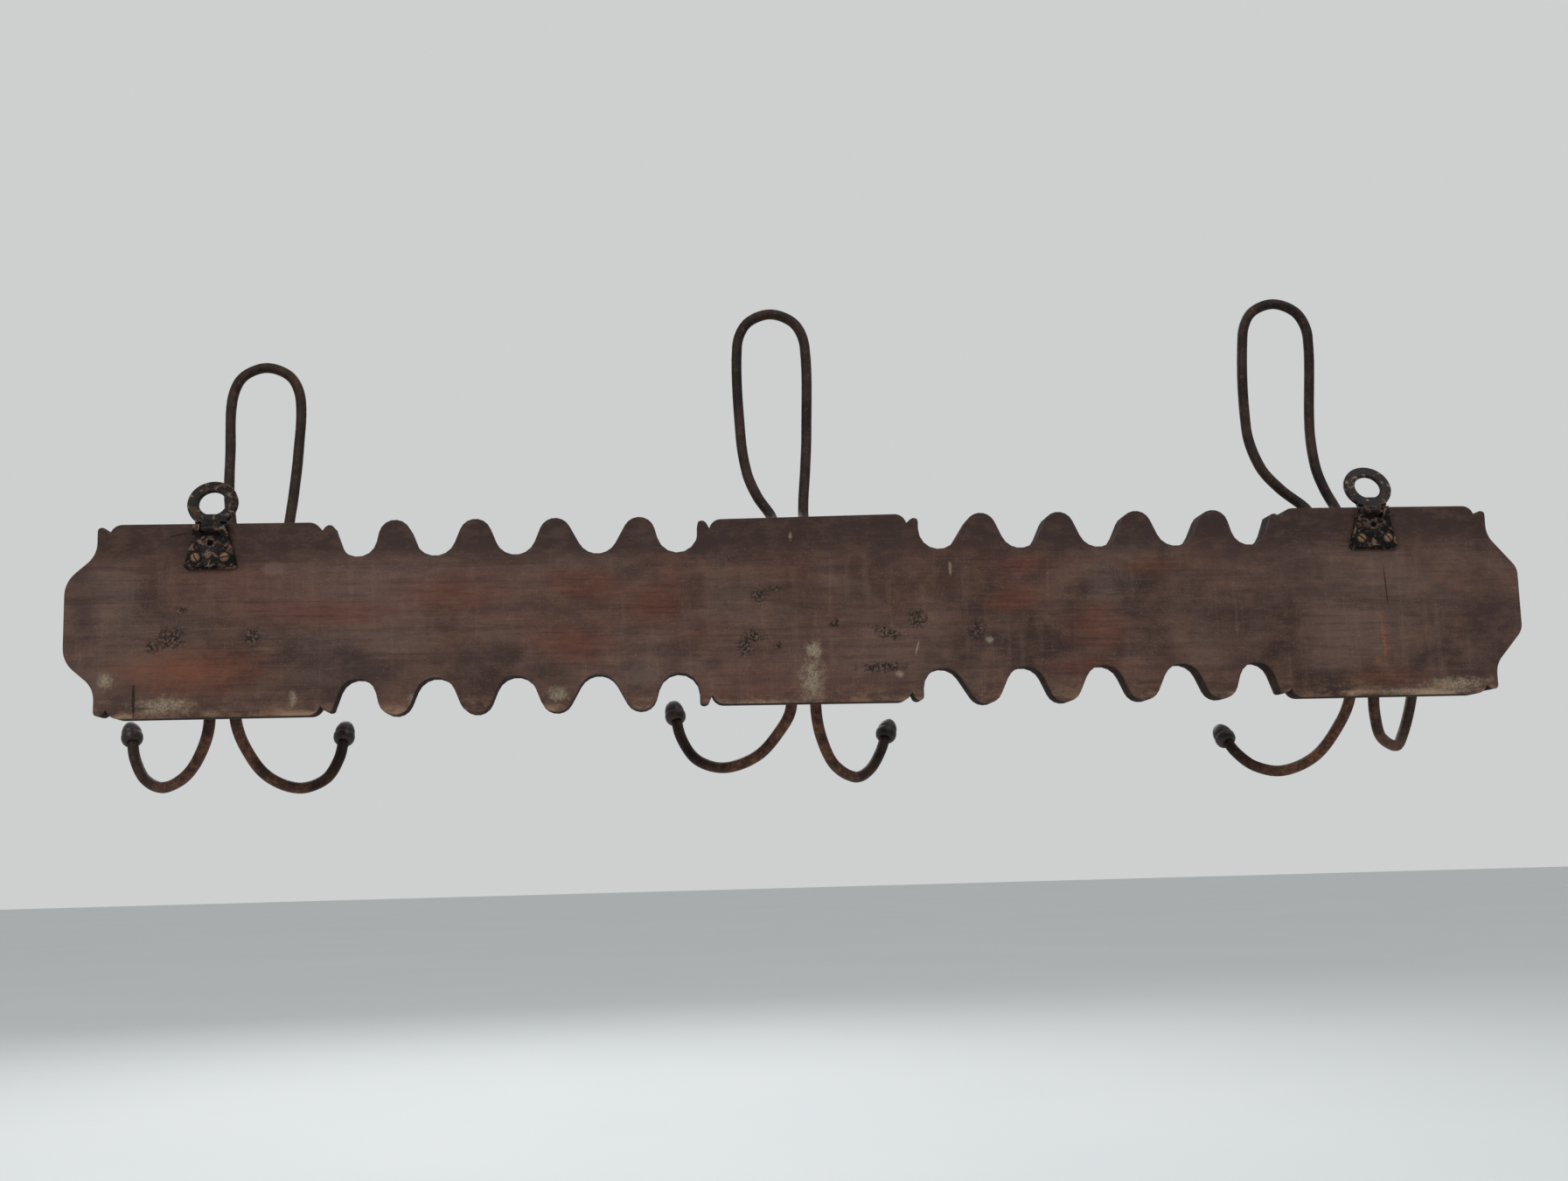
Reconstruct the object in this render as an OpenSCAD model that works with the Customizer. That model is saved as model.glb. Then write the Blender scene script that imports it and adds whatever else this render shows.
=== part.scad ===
// Wall hook rack: a scroll-sawn board that carries three bent-wire hat and coat hooks on its
// front, and hangs from two ring hangers screwed to its back.
// Frame: the origin is the centre of the board's back face, +X runs along the board, +Y points
// at the wall and +Z up. Millimetres.

/* [Board] */
// Length over the bowed ends
board_len = 800; // [720:1:960]
// Height over the three blocks
board_h = 106; // [94:1:127]
// Thickness of the plank
board_t = 15; // [12:0.5:22]
// Length of each end block, from its inner ear to the end of the board
end_block_len = 141; // [120:0.5:180]
// Length of the centre block
centre_block_len = 122; // [100:1:150]
// How deep the scallops between the teeth are cut
scallop_depth = 20; // [14:0.5:24]
// Teeth along each waist edge
teeth = 4; // [3:1:5]
// Radius of a tooth's round tip
tooth_r = 8.8; // [6:0.5:10]
// Radius of a scallop's round bottom
scallop_r = 11.2; // [8:0.5:12]
// Depth of the V notch beside each corner ear
notch_depth = 5; // [3:0.5:7]
// Width of each corner ear
ear_w = 6.5; // [5:0.5:9]

/* [Hooks] */
// Diameter of the iron wire
wire_d = 6.6; // [5:0.1:8]
// Distance between the two strands under the saddle
strand_gap = 13.4; // [10:0.2:18]
// Spacing of the hooks along the board
hook_pitch = 319; // [250:1:380]
// Width of the hat loop between its strands' middles
loop_w = 42; // [34:1:54]
// Height of the top of the hat loop over the board's middle
loop_rise = 200; // [170:1:240]
// How far the hat loop stands off the board's face
loop_reach = 94; // [75:1:115]
// Drop of the coat prongs below the board's middle
prong_drop = 87; // [78:1:105]
// Sideways spread of a coat prong from the hook's middle
prong_spread = 60; // [50:1:75]
// How far a prong's tip stands off the board's face
prong_reach = 72; // [55:1:90]
// Diameter of the acorn tips
acorn_d = 12.4; // [10:0.2:16]
// Length of the acorn tips
acorn_len = 15; // [12:0.5:18]

/* [Saddles] */
// Thickness of the iron saddle over the strands
saddle_t = 2; // [1.5:0.1:3]
// Height of the saddle
saddle_h = 26; // [20:1:34]
// Width over the saddle's feet
saddle_w = 50; // [44:1:60]
// Diameter of the saddle screws' shanks
saddle_screw_d = 4; // [3:0.1:5]

/* [Ring hangers] */
// Distance between the two ring hangers
hanger_span = 641; // [520:1:700]
// Sheet thickness of the folded strap
strap_t = 1.2; // [0.8:0.1:1.6]
// Width of the strap at the ring
strap_top_w = 17.5; // [16:0.5:20]
// Width of the strap at its lower edge
strap_foot_w = 28; // [24:0.5:34]
// Length of the strap below the ring's hinge
strap_len = 21.5; // [20:0.5:30]
// Outer diameter of the ring
ring_d = 27; // [25:0.5:34]
// Diameter of the ring's eye, which has a small flat at its foot
eye_d = 14.5; // [10:0.5:15.5]
// Distance from the hinge to the middle of the ring
ring_rise = 15.5; // [14:0.5:19]
// Thickness of the ring
ring_t = 2.6; // [2.4:0.1:3]
// Diameter of the ring's hinge bar
bar_d = 3.2; // [2.8:0.1:3.8]
// Diameter of the hanger screws' shanks
hanger_screw_d = 3.4; // [2.8:0.1:4]
// Length of the hanger screws in the wood
hanger_screw_len = 12; // [8:0.5:13]

/* [Hidden] */

board_half = board_len / 2;
board_top = board_h / 2;
end_flank = board_half - end_block_len;
centre_flank = centre_block_len / 2;
waist_top = board_top - scallop_depth;
// The ears stop short of the block's edge
ear_drop = 2.5;
// The ovolo from a block's edge down to its V notch
ovolo_run = 6.5;
ovolo_r = (ovolo_run * ovolo_run + notch_depth * notch_depth) / (2 * notch_depth);
// The bowed end is a hollow above and below a round shoulder
end_inset = 16.5;
hollow_r = 14;
shoulder_z = 14;
// The outline was sawn by hand. For each quarter, in turn +X top, +X bottom, -X top and -X bottom:
// how far the tooth by the centre block strays towards it, and how far the centre and end blocks'
// corners fall short of the full height, and the radius of the bowed end's shoulder
HAND_CUT = [
  [2.5, 1.8, 1, 16],
  [2.5, 2.6, 0.8, 16],
  [0, 0.2, -0.5, 10],
  [0, 2.2, 0, 10]
];
// The centre block sits a little off the board's middle, towards +X
centre_shift = 1.7;
// Faces of the many-sided rounds
round_fn = 64;
// Steps along each arc of the sawn outline
arc_steps = 7;

// ---- small vector and arc helpers ----
function unit(v) = v / norm(v);
function mix(a, b, t) = a + (b - a) * t;
function arc(c, r, from, to) =
  [for (i = [0:arc_steps])
    let (a = mix(from, to, i / arc_steps))
    [c[0] + r * cos(a), c[1] + r * sin(a)]
  ];
function flip_x(points) = [for (p = points) [-p[0], p[1]]];
function flip_z(points) = [for (p = points) [p[0], -p[1]]];
function back_to_front(points) = [for (i = [len(points) - 1:-1:0]) points[i]];

// Direction in which the inner tangent of two rounds, each [x, z, radius], leaves the first one
function tangent_dir(a, b, side) =
  atan2(b[1] - a[1], b[0] - a[0]) + side * acos(min(1, (a[2] + b[2]) / norm([b[0] - a[0], b[1] - a[1]])));

// ---- board outline, one quarter from the middle to the end, along the top edge ----
// The cove beside an end block is tighter, and its flank leans out to the ear
end_cove_r = 0.92 * scallop_r;
flank_lean = 2.5;
// Each of these is for one quarter: the first two are on the +X side
function flank_x(q) = centre_flank + (q < 2 ? centre_shift : -centre_shift);
function first_scallop(q) = flank_x(q) + scallop_r;
end_scallop = end_flank - flank_lean - end_cove_r;
function tooth_pitch(q) = (end_scallop - first_scallop(q)) / teeth;
// Teeth are made smaller where the waist is too short for them
tooth_fit = min(1, (tooth_pitch(0) / 2 - 1) / (tooth_r + scallop_r));
function tooth_x(q, k) = first_scallop(q) + tooth_pitch(q) * (k + 0.54) - (k == 0 ? HAND_CUT[q][0] : 0);

// Centres and radii of the scallops and teeth in turn, scallops at even places
function wave_rounds(q) = concat(
  [[first_scallop(q), waist_top + scallop_r, scallop_r]],
  [for (k = [0:teeth - 1])
    let (x = tooth_x(q, k), r = tooth_fit * scallop_r)
    each [
      [x, board_top - tooth_fit * tooth_r, tooth_fit * tooth_r],
      k == teeth - 1
        ? [end_scallop, waist_top + end_cove_r, end_cove_r]
        : [(x + tooth_x(q, k + 1)) / 2, waist_top + r, r]
    ]
  ]
);
function wave_lean(c, i) = tangent_dir(c[i], c[i + 1], i % 2 == 0 ? -1 : 1);

// A scallop is followed from its left side round its bottom, a tooth from its left side over its top
function wave(q) =
  let (c = wave_rounds(q), last = len(c) - 1)
  [for (i = [0:last])
    let (
      into = i == 0 ? 180 : wave_lean(c, i - 1) + 180,
      out = i == last ? -20 : wave_lean(c, i)
    )
    each arc(c[i], c[i][2], into, i % 2 == 0 ? out + 360 : out)
  ];

// A block's corner: edge, ovolo, V notch and ear, for a flank at x = 0 with the block on its left
function corner(short) = concat(
  [for (i = [0:arc_steps])
    let (a = asin(ovolo_run / ovolo_r) * i / arc_steps)
    [-ear_w - ovolo_run + ovolo_r * sin(a), board_top - short - ovolo_r * (1 - cos(a))]
  ],
  [
    [-0.7 * ear_w, board_top - ear_drop - 0.9],
    [-0.45 * ear_w, board_top - ear_drop],
    [-0.2 * ear_w, board_top - ear_drop - 0.1],
    [-0.05 * ear_w, board_top - ear_drop - 0.8],
    [0, board_top - ear_drop - 2]
  ]
);
function shift_x(points, x) = [for (p = points) [p[0] + x, p[1]]];

// The bowed end, from its upper ear down to the middle of the end
function bowed_end(shoulder_r) =
  let (
    ear_x = board_half - end_inset,
    hollow = [ear_x + hollow_r, board_top - 11, hollow_r],
    shoulder = [board_half - shoulder_r, shoulder_z, shoulder_r],
    lean = tangent_dir(hollow, shoulder, -1)
  )
  concat(arc(hollow, hollow_r, 180, lean + 360), arc(shoulder, shoulder_r, lean + 180, 0));

function quarter(q) = concat(
  shift_x(corner(HAND_CUT[q][1]), flank_x(q)),
  wave(q),
  back_to_front(shift_x(flip_x(corner(HAND_CUT[q][2])), end_flank)),
  shift_x(corner(HAND_CUT[q][2]), board_half - end_inset),
  bowed_end(HAND_CUT[q][3])
);

function board_outline() = concat(
  quarter(0),
  back_to_front(flip_z(quarter(1))),
  flip_x(flip_z(quarter(3))),
  back_to_front(flip_x(quarter(2)))
);

// ---- hooks ----
wire_r = wire_d / 2;
strand_u = strand_gap / 2;
loop_half = loop_w / 2;
acorn_r = acorn_d / 2;
// Depth of the wire's end in its acorn
socket_depth = 5.4;
// The strands lie this far off the board's face at the saddle
strand_lift = 0.15;
rest_w = wire_r + strand_lift;
// Distance between the rings of points along a wire
ring_step = 8;
wire_sides = 12;
// Height at which the strands clear the board's top edge
root_rise = board_top + 18;

// Every hook was bent by hand, so each has its own small differences from the pattern above. In turn:
// how far it stands off its pitch; for the hat loop the sideways shift, rise, reach, the shift and
// half width of its root and how much its strands bow; then spread, drop, tip height and bulge of
// the prong on the +X side, and of the other one
HOOKS = [
  [3.2, [3, -22, 38, 2, 16.5, 0], [4, -1, 31, 0], [-4, 1, 31, 0.06]],
  [4.7, [7, 0, 0, 1, 10, 0], [10.5, -5, 33, 0.03], [-6, 2, 27, -0.04]],
  [3.7, [9, 4, -5, -7, 9.6, 3], [2.5, 4, 22, 0.01], [-3, -9, 41, -0.1]]
];
function hook_x(h) = (1 - h) * hook_pitch + HOOKS[h][0];

// Route points of one side's strand, up from the saddle to the top of the loop: sideways,
// off the board's face, and up
function loop_side(h, side) =
  let (
    set = HOOKS[h][1],
    reach = loop_reach + set[2],
    root_reach = 0.85 * reach,
    rise = loop_rise + set[1],
    shift = set[0],
    half = set[4],
    root = set[3],
    arch = rise - loop_half
  )
  [
    [side * strand_u, rest_w, 0],
    [side * strand_u, rest_w, saddle_h / 2],
    [side * strand_u, rest_w, saddle_h / 2 + 3],
    [side * (strand_u + 0.3), rest_w + 0.1 * root_reach, saddle_h / 2 + 17],
    [mix(0, root, 0.4) + side * mix(strand_u, half, 0.3), 0.48 * root_reach, board_top - 3],
    [mix(0, root, 0.8) + side * mix(strand_u, half, 0.75), 0.82 * root_reach, board_top + 9],
    [root + side * half, root_reach, root_rise],
    [mix(root, shift, 0.55) + side * mix(half, loop_half, 0.37), mix(root_reach, reach, 0.25), root_rise + 12],
    [mix(root, shift, 0.9) + 0.6 * set[5] + side * mix(half, loop_half, 0.7), mix(root_reach, reach, 0.45), root_rise + 27],
    [shift + set[5] + side * mix(half, loop_half, 0.93), mix(root_reach, reach, 0.8), root_rise + 52],
    [shift + side * loop_half, reach, arch],
    [shift + side * loop_half * sin(45), reach, arch + loop_half * cos(45)]
  ];

// Route points of one side's coat prong, down from the saddle and round to its tip
function prong_side(h, side) =
  let (
    set = HOOKS[h][side > 0 ? 2 : 3],
    spread = prong_spread + set[0],
    bulge = set[3],
    drop = prong_drop + set[1],
    tip = drop - set[2],
    below = board_top - 2
  )
  [
    [side * strand_u, rest_w, -saddle_h / 2],
    [side * strand_u, rest_w, -saddle_h / 2 - 3],
    [side * (strand_u + 0.2), 0.17 * prong_reach, -below],
    [side * 0.19 * spread, 0.3 * prong_reach, -mix(below, drop, 0.42)],
    [side * (0.36 + 0.5 * min(bulge, 0)) * spread, 0.45 * prong_reach, -mix(below, drop, 0.82)],
    [side * (0.6 + 0.5 * bulge) * spread, 0.62 * prong_reach, -drop],
    [side * (0.8 + bulge) * spread, 0.76 * prong_reach, -mix(tip, drop, 0.84)],
    [side * (0.93 + 0.7 * bulge) * spread, 0.88 * prong_reach, -mix(tip, drop, 0.45)],
    [side * spread, prong_reach, -tip]
  ];

// The whole wire, from the tip on the +X side round to the other tip
function hook_route(h) = concat(
  back_to_front(prong_side(h, 1)),
  loop_side(h, 1),
  [[HOOKS[h][1][0], loop_reach + HOOKS[h][1][2], loop_rise + HOOKS[h][1][1]]],
  back_to_front(loop_side(h, -1)),
  prong_side(h, -1)
);

// A smooth curve through points, with a step of about ring_step
function slope_at(p, i) =
  i == 0 ? unit(p[1] - p[0])
  : i == len(p) - 1 ? unit(p[i] - p[i - 1])
  : (p[i + 1] - p[i - 1]) / (norm(p[i + 1] - p[i]) + norm(p[i] - p[i - 1]));
function blend_point(a, b, ta, tb, t) =
  let (run = norm(b - a), t2 = t * t, t3 = t2 * t)
  (2 * t3 - 3 * t2 + 1) * a + (t3 - 2 * t2 + t) * run * ta
  + (3 * t2 - 2 * t3) * b + (t3 - t2) * run * tb;
function smooth(p) = concat(
  [for (i = [0:len(p) - 2])
    let (steps = max(1, ceil(norm(p[i + 1] - p[i]) / ring_step)))
    for (k = [0:steps - 1])
      blend_point(p[i], p[i + 1], slope_at(p, i), slope_at(p, i + 1), k / steps)
  ],
  [p[len(p) - 1]]
);

// Hook routes are in the hook's own directions; on the board, off the face means -Y
function on_board(h, p) = [hook_x(h) + p[0], -board_t - p[1], p[2]];
function wire_line(h) = [for (p = smooth(hook_route(h))) on_board(h, p)];

// Sideways directions carried along a line without twist
function carried(n, t) = unit(n - (n * t) * t);
function side_dirs(t) = [
  for (i = 0, n = carried([0, 0, 1], t[0]); i < len(t); i = i + 1, n = i < len(t) ? carried(n, t[i]) : n) n
];

module swept(line, r, sides) {
  last = len(line) - 1;
  t = [for (i = [0:last]) unit(line[min(i + 1, last)] - line[max(i - 1, 0)])];
  n = side_dirs(t);
  points = [
    for (i = [0:last])
    for (k = [0:sides - 1])
      line[i] + r * (cos(360 * k / sides) * n[i] + sin(360 * k / sides) * cross(t[i], n[i]))
  ];
  walls = [
    for (i = [0:last - 1])
    for (k = [0:sides - 1])
      let (a = i * sides + k, b = i * sides + (k + 1) % sides)
      each [[a, a + sides, b + sides], [a, b + sides, b]]
  ];
  caps = [
    [for (k = [0:sides - 1]) k],
    [for (k = [sides - 1:-1:0]) last * sides + k]
  ];
  polyhedron(points, concat(walls, caps));
}

module hook_wire(h) {
  color([0.22, 0.16, 0.13])
    swept(wire_line(h), wire_r, wire_sides);
}

// Turns +Z onto a direction
module aim(dir) {
  rotate([0, acos(dir[2] / norm(dir)), atan2(dir[1], dir[0])]) children();
}

// Acorn: a shallow cup with the wire's end in it, and a nut with a blunt tip
module acorn(h, side) {
  line = wire_line(h);
  last = len(line) - 1;
  tip = side > 0 ? line[0] : line[last];
  dir = side > 0 ? line[0] - line[1] : line[last] - line[last - 1];
  cup_h = 6;
  nut_h = acorn_len - cup_h;
  nut_r = 0.93 * acorn_r;
  color([0.17, 0.13, 0.11])
    translate(tip)
      aim(dir)
        translate([0, 0, -socket_depth])
          difference() {
            rotate_extrude($fn = round_fn)
              polygon(concat(
                [[0, 0], [wire_r + 0.6, 0]],
                [for (a = [30:15:90]) [mix(wire_r + 0.6, acorn_r, sin(a)), cup_h * 0.75 * (1 - cos(a))]],
                [[acorn_r, cup_h], [nut_r, cup_h + 0.4]],
                [for (a = [15:15:75]) [nut_r * pow(cos(a), 1.1), cup_h + 0.4 + (nut_h - 0.4) * sin(a)]],
                [[0, acorn_len]]
              ));
            translate([0, 0, -1]) cylinder(r = wire_r, h = socket_depth + 1, $fn = round_fn);
          }
}

// ---- saddles and screws ----
saddle_fit = 0.1;
saddle_inner = strand_u + wire_r + saddle_fit;
saddle_screw_u = (saddle_inner + saddle_t + saddle_w / 2) / 2;
saddle_screw_len = 14;
function round_head_r(shank_d) = shank_d;
function round_head_h(shank_d) = 0.62 * shank_d;

module hook_saddle(h) {
  roof = wire_d + strand_lift + saddle_fit;
  outer = saddle_inner + saddle_t;
  color([0.2, 0.15, 0.12])
    translate([hook_x(h), -board_t, 0])
      difference() {
        intersection() {
          translate([0, 0, -saddle_h / 2])
            linear_extrude(saddle_h)
              polygon([
                [-saddle_w / 2, 0], [-saddle_w / 2, -saddle_t], [-outer, -saddle_t],
                [-outer, 1 - roof - saddle_t], [1 - outer, -roof - saddle_t],
                [outer - 1, -roof - saddle_t], [outer, 1 - roof - saddle_t],
                [outer, -saddle_t], [saddle_w / 2, -saddle_t], [saddle_w / 2, 0],
                [saddle_inner, 0], [saddle_inner, -roof], [-saddle_inner, -roof], [-saddle_inner, 0]
              ]);
          rotate([90, 0, 0])
            translate([0, 0, -1])
              linear_extrude(roof + saddle_t + 2)
                saddle_plan();
        }
        for (side = [-1, 1])
          translate([side * saddle_screw_u, 1, 0])
            rotate([90, 0, 0]) cylinder(d = saddle_screw_d + 0.4, h = saddle_t + 2, $fn = round_fn);
      }
}

// Front view of a saddle: straight over the strands, with round feet
module saddle_plan() {
  foot_r = saddle_w / 2 - saddle_screw_u;
  straight = saddle_inner + saddle_t;
  square([2 * straight, saddle_h], center = true);
  square([2 * saddle_screw_u, 2 * foot_r], center = true);
  for (side = [-1, 1])
    translate([side * saddle_screw_u, 0]) circle(r = foot_r, $fn = round_fn);
}

// A round-headed slotted screw with its head's seat at the origin and its shank along -Z
module slotted_screw(shank_d, shank_len, turn) {
  head_r = round_head_r(shank_d);
  head_h = round_head_h(shank_d);
  ball_r = (head_r * head_r + head_h * head_h) / (2 * head_h);
  difference() {
    rotate_extrude($fn = round_fn)
      polygon(concat(
        [[0, -shank_len], [shank_d / 2, shank_d - shank_len], [shank_d / 2, 0], [head_r, 0]],
        [for (i = [1:5])
          let (a = asin(head_r / ball_r) * (1 - i / 6))
          [ball_r * sin(a), ball_r * cos(a) - ball_r + head_h]
        ],
        [[0, head_h]]
      ));
    rotate([0, 0, turn])
      translate([-head_r - 1, -0.2 * head_r / 2, 0.45 * head_h])
        cube([2 * head_r + 2, 0.2 * head_r, head_h]);
  }
}

module saddle_screws(h) {
  turns = [70, 15, 120, 48, 98, 160];
  color([0.25, 0.2, 0.16])
    for (s = [0, 1])
      translate([hook_x(h) + (2 * s - 1) * saddle_screw_u, -board_t - saddle_t, 0])
        rotate([90, 0, 0])
          slotted_screw(saddle_screw_d, saddle_screw_len + saddle_t, turns[2 * h + s]);
}

// ---- ring hangers ----
// Running clearance of the bar in the strap's knuckle
bar_fit = 0.06;
knuckle_in = bar_d / 2 + bar_fit;
knuckle_out = knuckle_in + strap_t;
hinge_y = knuckle_out;
// The ring comes to rest this far from the board's top edge
rest_gap = 0.3;
// Slope of the strap's outer leaf below its knuckle
leaf_slope = 45;
// The roll and the leaves run this far into each other, so that the strap is one sheet
leaf_lap = 0.05;
// How far each hinge sits below the board's top edge, left and right
hinge_below = [3.4, 2.8];
// Angle at which each ring lies forward over the board's top edge
function ring_lean(s) =
  acos((ring_t / 2 + rest_gap) / norm([hinge_y, hinge_below[s]])) - atan2(hinge_below[s], hinge_y);
tongue_w = 10;
tongue_fit = 0.35;
// The ring's neck starts clear of the knuckle, and only its tongue reaches the bar
ring_cut = knuckle_out + 0.75;
// The tongue's slot in the strap runs down past the knuckle
slot_foot = knuckle_out + 1;
// Depth of the flat at the foot of the eye
eye_flat = 0.2;
ring_edge = 0.5;
// The two leaves do not quite close on each other
leaf_gap = 0.1;
stack_t = 2 * strap_t + leaf_gap;
// The outer leaf is a little smaller than the leaf on the board
leaf_step = 0.8;
screw_row = strap_len - 6;
screw_u = 7.6;
eyelet_row = 7.6;
eyelet_bore_d = 3.2;
eyelet_flange_d = 6.2;
eyelet_flange_t = 0.7;
hanger_hole_d = hanger_screw_d + 0.4;

// The pair sits a little off the board's middle
hanger_shift = 3.2;
function hanger_x(s) = (1 - 2 * s) * hanger_span / 2 + hanger_shift;
function hinge_z(s) = board_top - HAND_CUT[2 * s][2] - hinge_below[s];
module at_hinge(s) {
  translate([hanger_x(s), hinge_y, hinge_z(s)]) children();
}
// Stands a shape drawn in X and Z up, from y = 0 to y = depth
module upright(depth) {
  translate([0, depth, 0]) rotate([90, 0, 0]) linear_extrude(depth) children();
}

module strap_plan(step) {
  half_top = strap_top_w / 2;
  half_foot = strap_foot_w / 2 - step;
  foot = strap_len - 1.5 * step;
  polygon([
    [-half_top, knuckle_out + 1], [-half_top, 0], [-half_foot, 1.5 - foot], [1.5 - half_foot, -foot],
    [half_foot - 1.5, -foot], [half_foot, 1.5 - foot], [half_top, 0], [half_top, knuckle_out + 1]
  ]);
}

// Side view of the outer leaf, in Y and Z from the hinge: down the slope, then flat on the inner leaf
module outer_leaf_side() {
  s = sin(leaf_slope);
  c = cos(leaf_slope);
  inner_face = strap_t + leaf_gap - hinge_y;
  outer_face = stack_t - hinge_y;
  inner_run = (knuckle_in * c - inner_face) / s;
  outer_run = (knuckle_out * c - outer_face) / s;
  polygon([
    [knuckle_in * c + leaf_lap * s, leaf_lap * c - knuckle_in * s],
    [knuckle_out * c + leaf_lap * s, leaf_lap * c - knuckle_out * s],
    [outer_face, -knuckle_out * s - outer_run * c],
    [outer_face, -strap_len - 1],
    [inner_face, -strap_len - 1],
    [inner_face, -knuckle_in * s - inner_run * c]
  ]);
}

module hanger_strap(s) {
  wide = strap_foot_w + 2;
  color([0.1, 0.09, 0.1])
    at_hinge(s)
      difference() {
        union() {
          // The leaf that lies on the board
          intersection() {
            translate([-wide / 2, -hinge_y, -strap_len - 1]) cube([wide, strap_t, strap_len + 1 + leaf_lap]);
            translate([0, -hinge_y - 1, 0]) upright(strap_t + 2) strap_plan(0);
          }
          // The knuckle rolled over the ring's bar
          translate([-strap_top_w / 2, 0, 0])
            rotate([90, 0, 90]) rotate([0, 0, -leaf_slope]) knuckle_roll();
          // The outer leaf, back down over the inner one
          intersection() {
            translate([-wide / 2, 0, 0])
              rotate([90, 0, 90]) linear_extrude(wide) outer_leaf_side();
            translate([0, -hinge_y, 0]) upright(hinge_y + knuckle_out + 2) strap_plan(leaf_step);
          }
        }
        // Slot that the ring's tongue swings in
        translate([-tongue_w / 2 - tongue_fit, -hinge_y - 1, -slot_foot])
          cube([tongue_w + 2 * tongue_fit, 2 * hinge_y + 2, slot_foot + knuckle_out + 1]);
        for (u = [-screw_u, screw_u])
          translate([u, -hinge_y - 1, -screw_row])
            rotate([-90, 0, 0]) cylinder(d = hanger_hole_d, h = stack_t + 2, $fn = round_fn);
        translate([0, -hinge_y - 1, -eyelet_row])
          rotate([-90, 0, 0]) cylinder(d = eyelet_bore_d + 2 * eyelet_flange_t, h = stack_t + 2, $fn = round_fn);
      }
}

// The sheet's roll: half a turn and the leaf's slope more, from the inner leaf over to the outer
module knuckle_roll() {
  rotate_extrude(angle = 180 + leaf_slope, $fn = round_fn)
    translate([knuckle_in, 0]) square([strap_t, strap_top_w]);
}

// The ring lies in its own X-Z plane with the hinge bar on the X axis
module hanger_ring(s) {
  half_t = ring_t / 2;
  outer = ring_d / 2;
  inner = eye_d / 2;
  color([0.11, 0.09, 0.09])
    at_hinge(s)
      rotate([ring_lean(s), 0, 0])
        union() {
          difference() {
            union() {
              translate([0, 0, ring_rise])
                rotate([90, 0, 0])
                  rotate_extrude($fn = 2 * round_fn)
                    polygon([
                      [inner, half_t - ring_edge], [inner + ring_edge, half_t], [outer - ring_edge, half_t],
                      [outer, half_t - ring_edge], [outer, ring_edge - half_t], [outer - ring_edge, -half_t],
                      [inner + ring_edge, -half_t], [inner, ring_edge - half_t]
                    ]);
              // Neck between the ring and its hinge, and the flat at the foot of the eye
              translate([0.4 - strap_top_w / 2, -half_t, ring_cut])
                cube([strap_top_w - 0.8, ring_t, ring_rise - inner - ring_cut + eye_flat]);
            }
            translate([-ring_d, -ring_t, ring_cut - ring_d]) cube([2 * ring_d, 2 * ring_t, ring_d]);
          }
          translate([-tongue_w / 2, -half_t, 0]) cube([tongue_w, ring_t, ring_cut + 0.5]);
          translate([1 - strap_top_w / 2, 0, 0])
            rotate([0, 90, 0]) cylinder(d = bar_d, h = strap_top_w - 2, $fn = round_fn);
        }
}

module hanger_eyelet(s) {
  tube_r = eyelet_bore_d / 2 + eyelet_flange_t;
  color([0.15, 0.12, 0.1])
    translate([hanger_x(s), 0, hinge_z(s) - eyelet_row])
      rotate([-90, 0, 0])
        rotate_extrude($fn = round_fn)
          polygon([
            [eyelet_bore_d / 2, 0], [tube_r, 0], [tube_r, stack_t], [eyelet_flange_d / 2, stack_t],
            [eyelet_flange_d / 2, stack_t + 0.4], [tube_r, stack_t + eyelet_flange_t],
            [eyelet_bore_d / 2, stack_t + eyelet_flange_t - 0.2]
          ]);
}

module hanger_screws(s) {
  turns = [12, 118, 128, 142];
  color([0.47, 0.36, 0.26])
    for (k = [0, 1])
      translate([hanger_x(s) + (2 * k - 1) * screw_u, stack_t, hinge_z(s) - screw_row])
        rotate([-90, 0, 0])
          slotted_screw(hanger_screw_d, hanger_screw_len + stack_t, turns[2 * s + k]);
}

// ---- board ----
module backboard() {
  color([0.31, 0.24, 0.22])
    difference() {
      rotate([90, 0, 0]) linear_extrude(board_t) polygon(board_outline());
      for (h = [0:2])
        for (side = [-1, 1])
          translate([hook_x(h) + side * saddle_screw_u, -board_t, 0])
            rotate([-90, 0, 0]) screw_hole(saddle_screw_d, saddle_screw_len);
      for (s = [0, 1])
        for (u = [-screw_u, screw_u])
          translate([hanger_x(s) + u, 0, hinge_z(s) - screw_row])
            rotate([90, 0, 0]) screw_hole(hanger_screw_d, hanger_screw_len);
    }
}

// The hole that a screw has cut for itself, down from the surface along +Z
module screw_hole(shank_d, depth) {
  translate([0, 0, -1]) cylinder(d = shank_d, h = depth - shank_d + 1, $fn = round_fn);
  translate([0, 0, depth - shank_d]) cylinder(d1 = shank_d, d2 = 0, h = shank_d, $fn = round_fn);
}

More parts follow.
